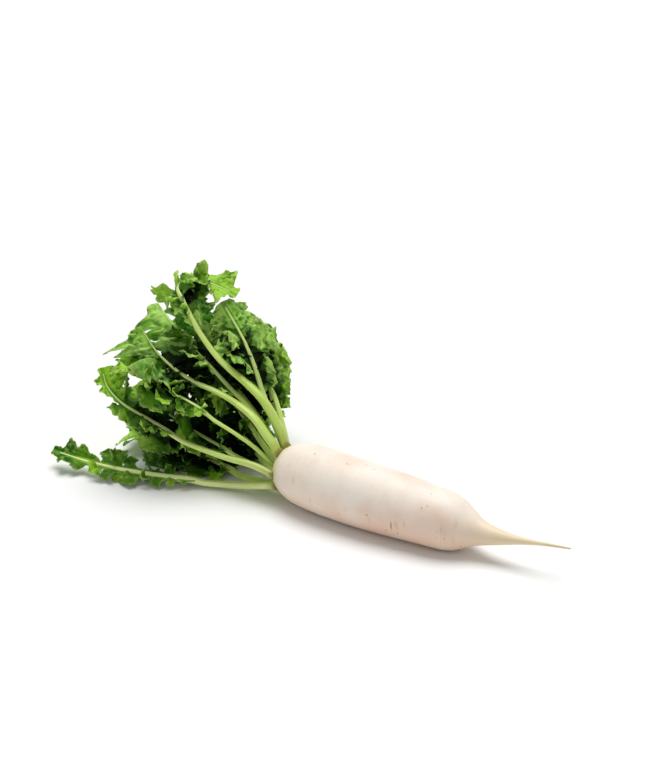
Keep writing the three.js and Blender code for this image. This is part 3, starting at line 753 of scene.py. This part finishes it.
def lobes_of_pair(leaf, line, stations, pair, sign, sheet, edge):
    """One side of a pair: its own lobe, a small one between it and the next, and one over or under it."""
    first = pair * CELL_SEGMENTS + (0 if sign > 0 else 1)
    middle_share = stations[first + 1]
    base_half = stations[first + 1] - stations[first]
    place = pair * PAIR_DRAWS + (LEFT_DRAWS if sign > 0 else 0)
    row = edge[first * CELLS:(first + 2) * CELLS + 1]
    side_lobe(leaf, line, middle_share, base_half, sign, place, sheet, row)

    stance = lobe_stance(leaf, pair, sign)
    length, tilt, twist = SMALL_LOBE
    lift = stance if leaf["name"] in SMALL_BY_STANCE else (1 if pair % 2 else -1)
    gap = pair * CELL_SEGMENTS + (2 if sign > 0 else 0)
    row = edge[gap * CELLS:(gap + 1) * CELLS + 1]
    side_lobe(leaf, line, stations[gap] + base_half / 2, base_half / 2, sign, place + SMALL_DRAWS, sheet,
              row, (length, tilt * lift, twist))

    if stance == 0:
        return
    length, tilt, twist = OVER_LOBE
    spread = middle_share + OVER_BASE * base_half * np.linspace(-1, 1, OVER_CUTS)
    foot = lerp(line.at(spread)[0], wing_edge(leaf, line, spread, sign), OVER_ROOT)
    row = sheet.add(foot, (0, OVER_OUT), WING_TONE)
    side_lobe(leaf, line, middle_share, base_half * OVER_BASE, sign, place + OVER_DRAWS, sheet, row,
              (length, tilt * stance, twist))


def blade_piece(leaf, material):
    line = LeafLine(leaf)
    stations = leaf_shares(leaf)
    shares = cut(stations, CELLS)
    end_start = leaf["pairs"] * CELL_SEGMENTS * CELLS
    sheet = Sheet()
    place, _, side, _ = line.at(shares)
    run = shares * line.length
    wing = (stalk_half(leaf, shares) + WING) * rows_out(WING_CUTS)
    spine = sheet.add(place[None], joined(run, 0), WING_TONE)
    for sign in (1, -1):
        numbers = sheet.add(place + side * (sign * wing)[..., None], joined(run, wing), WING_TONE)
        sheet.fill(np.concatenate([spine, numbers]), sign < 0)
        edge = numbers[-1]
        for pair in range(leaf["pairs"]):
            lobes_of_pair(leaf, line, stations, pair, sign, sheet, edge)
        end_lobe(leaf, line, shares[end_start:], sign, sheet, edge[end_start:])
    points, faces, uv, tones = sheet.closed(BLADE_THICKNESS)
    points = points + CROWN
    points[:, 2] = np.maximum(points[:, 2], LOWEST)
    piece = add_piece(leaf["name"] + "_blade_fine", points, faces, uv, tones, material)
    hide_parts(leaf["name"] + "_blade")
    return piece


def stalk_piece(leaf, material):
    """The stalk and, under the blade, its midrib. Its tone's red is the share of the bare length."""
    line = LeafLine(leaf)
    bare = leaf["bare"]
    shares = np.linspace(0, leaf_shares(leaf)[-2], STALK_STATIONS)
    place, ahead, side, upper = line.at(shares)
    half = stalk_half(leaf, shares) * (1 + FOOT_SWELL * smooth(FOOT_END, 0, shares))
    deep = half * STALK_DEPTH
    below = deep * math.sin(math.pi / 3) + SOLID_BLADE / 2 + STALK_GAP
    down = lerp(below, deep * RIB_SUNK, smooth(bare * 0.86, bare * 1.12, shares))
    angle = np.arange(STALK_SIDES) * 2 * math.pi / STALK_SIDES
    grooved = smooth(bare * 1.25, bare * 0.6, shares)[:, None]
    groove = 1 - GROOVE_DEPTH * grooved * np.exp(-(((angle - math.pi / 2) / GROOVE_WIDTH) ** 2))[None, :]
    ridges = 1 + RIDGE_HEIGHT * np.cos(RIDGES * angle)[None, :] * grooved
    across = (half[:, None] * np.cos(angle) * ridges)[..., None]
    upward = (deep[:, None] * np.sin(angle) * groove * ridges)[..., None]
    points = (place - upper * down[:, None])[:, None, :] + side[:, None] * across + upper[:, None] * upward
    points[0, :, 0] = INTO_CROWN
    points[1, :, 0] = np.minimum(points[1, :, 0], INTO_CROWN / 4)
    uv = joined((shares * line.length)[:, None], angle / (2 * math.pi))
    # The tone's last number is painted light that turns some stalks paler.
    tones = joined(shares[:, None] / bare, 0 * angle, 0, STALK_PAINTED_LIGHT.get(leaf["name"], 0))
    tip = points[-1].mean(0) + ahead[-1] * STALK_TIP
    points = np.concatenate([points.reshape(-1, 3), [points[0].mean(0)], [tip]])
    uv = np.concatenate([uv.reshape(-1, 2), uv[0, :1], uv[-1, :1]])
    tones = np.concatenate([tones.reshape(-1, 4), tones[0, :1], tones[-1, :1]])
    points = points + CROWN
    faces = tube_faces(STALK_STATIONS, STALK_SIDES)
    piece = add_piece(leaf["name"] + "_stalk_fine", points, faces, uv, tones, material)
    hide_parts(leaf["name"] + "_stalk")


# ---- root
def root_line():
    """Distance from the crown, radius and middle of each ring, with the crown's low dome first."""
    share = np.linspace(0, 1, ROOT_RINGS)
    distance = ROOT_LENGTH * lerp(share, share**3, RING_SPREAD)
    radius = along(ROOT_PROFILE, distance)
    sideways = along(ROOT_BEND, distance)
    lying = lerp(CROWN_HEIGHT, radius - FLAT_DEPTH, smooth(*SETTLES, distance))
    height = np.where(distance > TAIL_HEIGHT[0][0], along(TAIL_HEIGHT, distance), lying)
    dome = np.array(DOME_RINGS)
    distance = np.concatenate([-DOME_HEIGHT * np.sqrt(1 - dome**2), distance])
    radius = np.concatenate([np.maximum(dome * CROWN_RADIUS, 0.05), radius])
    sideways = np.concatenate([0 * dome, sideways])
    height = np.concatenate([0 * dome + CROWN_HEIGHT, height])
    return distance, radius, joined(CROWN_X + distance, sideways, height)


def root_dents(distance, radius, angle):
    """Small slots where fine roots grew, from 0 on the skin to 1 in a slot."""
    rng = np.random.default_rng(DENT_SEED)
    dent = np.zeros((len(distance), len(angle)))
    for _ in range(DENTS):
        at = rng.uniform(*DENT_PLACES)
        turn = rng.choice(DENT_SIDES) + rng.normal() * DENT_SPREAD
        long, short = rng.uniform(*DENT_LENGTHS), rng.uniform(*DENT_WIDTHS)
        gap = (angle - turn + math.pi) % (2 * math.pi) - math.pi
        dent += np.exp(-((distance[:, None] - at) / short) ** 2 - (gap[None] * radius[:, None] / long) ** 2)
    return np.minimum(dent, 1)


def root_relief(points, distance):
    """Broad lumps and faint rings, which fade at the crown and along the tail."""
    grown = smooth(*RELIEF_GROWS, distance)[:, None] * smooth(*RELIEF_FADES, distance)[:, None]
    bulge = BULGE * waves(points, seed=3, lengths=(70, 34), weights=(0.7, 0.3)) * grown
    warp = points[..., 0] + 2.5 * waves(points, seed=8, lengths=(40,), weights=(1,))
    rings = np.sin(warp * 0.9) * 0.5 + np.sin(warp * 1.47 + 1) * 0.3 + np.sin(warp * 2.6 + 2) * 0.2
    patchy = 0.5 + 0.5 * waves(points, seed=12, lengths=(30, 16), weights=(0.6, 0.4))
    return bulge + RING_HEIGHT * rings * patchy * grown


def root_piece(material):
    """The root with its crown and tail. Its tone's red is the depth of the small slots."""
    distance, radius, middle = root_line()
    angle = np.arange(ROOT_SIDES) * 2 * math.pi / ROOT_SIDES
    ring = joined(0, np.cos(angle), np.sin(angle))
    points = middle[:, None, :] + ring[None] * radius[:, None, None]
    dent = root_dents(distance, radius, angle)
    offset = root_relief(points, distance) - DENT_DEPTH * dent
    points = points + ring[None] * offset[..., None]
    points[..., 2] = np.maximum(points[..., 2], 0)
    ends = [points[0].mean(0), points[-1].mean(0) + np.array([TAIL_TIP, 0, 0])]
    uv = joined(distance[:, None], angle / (2 * math.pi)).reshape(-1, 2)
    uv = np.concatenate([uv, uv[:1], uv[-1:]])
    tones = np.zeros((len(uv), 4))
    tones[:-2, 0] = dent.ravel()
    faces = tube_faces(len(distance), ROOT_SIDES)
    points = np.concatenate([points.reshape(-1, 3), ends])
    piece = add_piece("root_fine", points, faces, uv, tones, material)
    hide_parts("root")


# ---- materials
class Nodes:
    """Short ways to add nodes to a material. Places and noise scales are in metres."""

    def __init__(self, name):
        self.material = bpy.data.materials.new(name)
        self.material.use_nodes = True
        self.tree = self.material.node_tree
        self.tree.nodes.clear()
        self.where = self.put("ShaderNodeTexCoord").outputs["Object"]

    def put(self, kind, values=(), **settings):
        node = self.tree.nodes.new(kind)
        for key, value in settings.items():
            setattr(node, key, value)
        for key, value in dict(values).items():
            self.set(node.inputs[key], value)
        return node

    def set(self, socket, value):
        if isinstance(value, bpy.types.NodeSocket):
            self.tree.links.new(value, socket)
        else:
            socket.default_value = value

    def math(self, operation, a, b=0.0):
        return self.put("ShaderNodeMath", {0: a, 1: b}, operation=operation).outputs[0]

    def times(self, a, b):
        return self.math("MULTIPLY", a, b)

    def ramp(self, value, low, high, to_low=0.0, to_high=1.0):
        """A smooth step of value between low and high."""
        node = self.put("ShaderNodeMapRange", {0: value, 1: low, 2: high, 3: to_low, 4: to_high},
                        interpolation_type="SMOOTHSTEP")
        return node.outputs[0]

    def mix(self, share, a, b, blend="MIX"):
        node = self.put("ShaderNodeMix", data_type="RGBA", blend_type=blend)
        for i, value in ((0, share), (6, a), (7, b)):
            self.set(node.inputs[i], value)
        return node.outputs[2]

    def tint(self, colour, other, value, low, high, most):
        """The colour, turned to another by a share that steps from 0 at low to most at high."""
        return self.mix(self.ramp(value, low, high, 0, most), colour, other)

    def noise(self, where, scale, detail):
        values = {"Vector": where, "Scale": scale, "Detail": detail, "Roughness": 0.55, "Distortion": 0.0}
        return self.put("ShaderNodeTexNoise", values).outputs[0]

    def stretched(self, where, scale):
        return self.put("ShaderNodeMapping", {"Vector": where, "Scale": scale}).outputs[0]

    def tones(self):
        """The four numbers that each point carries."""
        attribute = self.put("ShaderNodeAttribute", attribute_name="tone")
        colour = self.put("ShaderNodeSeparateColor", {0: attribute.outputs["Color"]})
        return (*colour.outputs[:3], attribute.outputs["Alpha"])

    def uv(self):
        return self.put("ShaderNodeUVMap", uv_map="UVMap").outputs[0]

    def bump(self, height, strength, distance):
        values = {"Height": height, "Strength": strength, "Distance": distance}
        return self.put("ShaderNodeBump", values).outputs[0]

    def shader(self, values, bleed=None):
        """The surface's shader, with how far each colour of light spreads under it, if any does."""
        node = self.put("ShaderNodeBsdfPrincipled", values)
        if bleed:
            node.inputs["Subsurface Radius"].default_value = bleed
        return node.outputs[0]

    def finished(self, surface):
        self.put("ShaderNodeOutputMaterial", {"Surface": surface})
        return self.material


def rgb(r, g, b):
    """A colour given as the eye sees it, from 0 to 255."""
    def linear(c):
        c /= 255
        return c / 12.92 if c <= 0.04045 else ((c + 0.055) / 1.055) ** 2.4
    return (linear(r), linear(g), linear(b), 1.0)


def root_material():
    m = Nodes("root_skin")
    x, _, z = m.put("ShaderNodeSeparateXYZ", {0: m.where}).outputs
    dent, _, _, _ = m.tones()
    # cream with paler and pinker clouds
    colour = m.mix(m.ramp(m.noise(m.where, 26, 4), 0.35, 0.7), rgb(247, 236, 223), rgb(242, 225, 208))
    colour = m.tint(colour, rgb(232, 198, 178), m.noise(m.where, 11, 3), 0.45, 0.72, 0.75)
    # painted shade: warmer and darker towards the bottom of the root
    colour = m.tint(colour, rgb(232, 196, 170), z, 0.045, 0.012, 0.45)
    # fine lines round the root
    lines = m.noise(m.stretched(m.where, (700, 60, 60)), 1.0, 2)
    colour = m.tint(colour, rgb(206, 176, 150), lines, 0.58, 0.74, 0.16)
    # small brown specks, and the slots' brown
    spots = m.put("ShaderNodeTexVoronoi", {"Vector": m.stretched(m.where, (130, 95, 95)), "Scale": 1.0})
    rare = m.ramp(m.noise(m.where, 30, 2), 0.5, 0.62)
    speck = m.times(m.ramp(spots.outputs["Distance"], 0.17, 0.06), rare)
    colour = m.mix(m.times(speck, 0.6), colour, rgb(168, 118, 82))
    colour = m.mix(m.times(dent, 0.42), colour, rgb(196, 156, 122))
    for place, long, wide, strength in MARKS:
        colour = m.mix(scuff(m, place, long * MM, wide * MM, strength), colour, rgb(142, 104, 84))
    # green at the crown's shoulder, brown-green round the stalks' feet and a yellow-brown tail
    edge = m.math("ADD", x, m.times(m.noise(m.where, 70, 2), 0.007))
    colour = m.tint(colour, rgb(212, 208, 142), edge, -0.092, -0.1075, 0.8)
    colour = m.tint(colour, rgb(134, 140, 62), edge, -0.1065, -0.1095, 0.8)
    colour = m.tint(colour, rgb(232, 222, 178), edge, 0.085, 0.15, 0.6)
    colour = m.tint(colour, rgb(196, 160, 110), edge, 0.165, 0.2, 0.6)
    grain = m.times(m.noise(m.where, 420, 3), 0.35)
    relief = m.math("ADD", m.times(lines, 0.5), grain)
    shader = m.shader({
        "Base Color": colour,
        "Roughness": m.ramp(m.noise(m.where, 60, 3), 0.3, 0.7, 0.42, 0.56),
        "Normal": m.bump(relief, 0.25, 0.0005),
        "Subsurface Weight": 0.2,
        "Subsurface Scale": 0.004,
    }, (1.0, 0.7, 0.5))
    return m.finished(shader)


def scuff(m, place, long, wide, strength):
    """The share of a ragged mark that runs round the root at a place in mm."""
    away = m.put("ShaderNodeVectorMath", {0: m.where, 1: [c * MM for c in place]}, operation="SUBTRACT")
    scaled = m.stretched(away.outputs[0], (1 / wide, 1 / long, 1 / long))
    reach = m.put("ShaderNodeVectorMath", {0: scaled}, operation="LENGTH").outputs["Value"]
    ragged = m.math("ADD", reach, m.times(m.noise(m.where, 500, 2), 0.9))
    return m.ramp(ragged, 1.5, 0.8, 0, strength)


def stalk_material():
    m = Nodes("stalk_green")
    share, _, _, paler = m.tones()
    # pale green with streaks along it and darker clouds
    streaks = m.noise(m.stretched(m.uv(), (0.02, 26, 1)), 1.0, 3)
    colour = m.mix(m.ramp(streaks, 0.35, 0.65), rgb(192, 219, 94), rgb(219, 239, 136))
    colour = m.tint(colour, rgb(164, 198, 76), m.noise(m.where, 45, 3), 0.5, 0.75, 0.5)
    # greener towards the crown and paler under the blade
    colour = m.tint(colour, rgb(162, 192, 74), share, 0.7, 0.05, 0.5)
    colour = m.tint(colour, rgb(222, 242, 156), share, 0.6, 1.3, 0.6)
    # painted light: paler stalks where the bunch shades them
    colour = m.mix(paler, colour, rgb(238, 248, 172))
    # yellowish and then brown at the foot
    colour = m.tint(colour, rgb(176, 182, 84), share, 0.14, 0.0, 0.75)
    colour = m.tint(colour, rgb(120, 112, 48), share, 0.035, 0.0, 0.8)
    shader = m.shader({
        "Base Color": colour,
        "Roughness": 0.34,
        "Normal": m.bump(streaks, 0.3, 0.0006),
        "Subsurface Weight": 0.06,
        "Subsurface Scale": 0.003,
    }, (0.7, 1.0, 0.3))
    return m.finished(shader)


def leaf_veins(m):
    """Shares of the midrib and the slanting side veins, a little bent by noise, and of the fine net."""
    run, out, _ = m.put("ShaderNodeSeparateXYZ", {0: m.uv()}).outputs
    out = m.math("ABSOLUTE", out)
    wander = m.times(m.math("SUBTRACT", m.noise(m.where, 90, 2), 0.5), 3.0)
    slant = m.math("ADD", m.math("SUBTRACT", run, m.times(out, VEIN_SLANT)), wander)
    beside = m.math("PINGPONG", slant, VEIN_GAP / 2)
    ribs = m.times(m.ramp(beside, 0.42, 0.1), 0.6)
    veins = m.math("MAXIMUM", m.ramp(out, 1.1, 0.35), ribs)
    cells = m.put("ShaderNodeTexVoronoi", {"Vector": m.where, "Scale": 480.0}, feature="DISTANCE_TO_EDGE")
    return veins, m.ramp(cells.outputs["Distance"], 0.12, 0.02, 0, 0.3)


def blade_material():
    m = Nodes("blade_green")
    under, margin, unshaded, shade = m.tones()
    veins, net = leaf_veins(m)
    cloud = m.noise(m.where, 32, 4)
    # the upper face: dark to bright green in clouds, with paler veins, and each lobe paler or darker, partly
    # at random and partly as painted sheen and shade
    top = m.mix(m.ramp(cloud, 0.28, 0.64), rgb(38, 120, 2), rgb(178, 234, 52))
    top = m.mix(m.times(net, 0.35), top, rgb(136, 190, 52))
    top = m.mix(m.times(veins, 0.55), top, rgb(172, 212, 88))
    top = m.tint(top, rgb(186, 236, 88), shade, 0.55, 0.9, 0.7)
    top = m.tint(top, rgb(22, 94, 6), shade, 0.42, 0.08, 0.7)
    # the lower face: a paler green
    back = m.mix(m.ramp(cloud, 0.28, 0.64), rgb(128, 200, 48), rgb(200, 244, 124))
    # each lobe paler or darker here too, partly painted sheen and shade
    back = m.tint(back, rgb(208, 246, 124), shade, 0.55, 0.9, 0.7)
    back = m.tint(back, rgb(62, 136, 12), shade, 0.5, 0.15, 0.9)
    back = m.mix(m.times(veins, 0.5), back, rgb(206, 232, 146))
    colour = m.mix(under, top, back)
    # pale margins, a fine mottle, and painted shade: darker greens in dips, at the lobes' feet and deep in
    # the bunch
    # pale margins: partly the leaf's own pale edge, partly a painted highlight
    colour = m.mix(m.times(margin, 0.6), colour, rgb(210, 236, 140))
    # a fine mottle of painted sheen and painted shade
    painted_sheen_and_shade = m.noise(m.where, 120, 3)
    colour = m.tint(colour, rgb(208, 242, 126), painted_sheen_and_shade, 0.52, 0.66, 0.35)
    colour = m.tint(colour, rgb(22, 96, 2), painted_sheen_and_shade, 0.46, 0.36, 0.35)
    # painted shade: darker greens down to near black in dips, at lobes' feet and deep in the bunch
    colour = m.tint(colour, rgb(44, 116, 8), unshaded, 0.95, 0.45, 0.8)
    colour = m.tint(colour, rgb(3, 17, 1), unshaded, 0.62, 0.08, 0.96)
    relief = m.math("ADD", m.times(veins, -0.6), m.noise(m.where, 260, 3))
    bump = m.bump(relief, 0.45, 0.0008)
    shader = m.shader({
        "Base Color": colour,
        "Roughness": m.ramp(m.noise(m.where, 80, 2), 0.3, 0.7, 0.4, 0.55),
        "Specular IOR Level": 0.12,
        "Normal": bump,
    })
    # a fifth of the light goes through
    through = m.mix(1.0, colour, rgb(196, 232, 96), "MULTIPLY")
    glow = m.put("ShaderNodeBsdfTranslucent", {"Color": through, "Normal": bump}).outputs[0]
    return m.finished(m.put("ShaderNodeMixShader", {0: 0.2, 1: shader, 2: glow}).outputs[0])


def floor_material():
    m = Nodes("floor")
    colour = m.mix(m.noise(m.where, 3.0, 2), rgb(240, 240, 239), rgb(244, 244, 243))
    return m.finished(m.shader({"Base Color": colour, "Roughness": 0.7}))


# ---- the scene
def add_leaves():
    leaves = [dict(zip(KEYS, row)) for row in LEAVES]
    stalk_green, blade_green = stalk_material(), blade_material()
    for leaf in leaves:
        stalk_piece(leaf, stalk_green)
    # paints shade on the blades deep in the bunch
    paint_bunch_shade([blade_piece(leaf, blade_green) for leaf in leaves])


def add_floor():
    corners = [(x * FLOOR_HALF, y * FLOOR_HALF, 0) for x, y in ((-1, -1), (1, -1), (1, 1), (-1, 1))]
    mesh = bpy.data.meshes.new("floor")
    mesh.from_pydata(corners, [], [(0, 1, 2, 3)])
    mesh.materials.append(floor_material())
    floor = bpy.data.objects.new("floor", mesh)
    bpy.context.scene.collection.objects.link(floor)


def add_light():
    world = bpy.data.worlds.new("studio")
    world.use_nodes = True
    sky = world.node_tree.nodes["Background"]
    sky.inputs[0].default_value = (1.0, 1.0, 1.0, 1)
    sky.inputs[1].default_value = SKY
    bpy.context.scene.world = world
    data = bpy.data.lights.new("key", "SUN")
    data.energy = SUN
    data.angle = SUN_SPREAD
    sun = bpy.data.objects.new("key", data)
    sun.rotation_euler = SUN_FROM.to_track_quat("Z", "Y").to_euler()
    bpy.context.scene.collection.objects.link(sun)
    bpy.context.scene.view_settings.view_transform = "Standard"


root_piece(root_material())
add_leaves()
add_floor()
add_light()
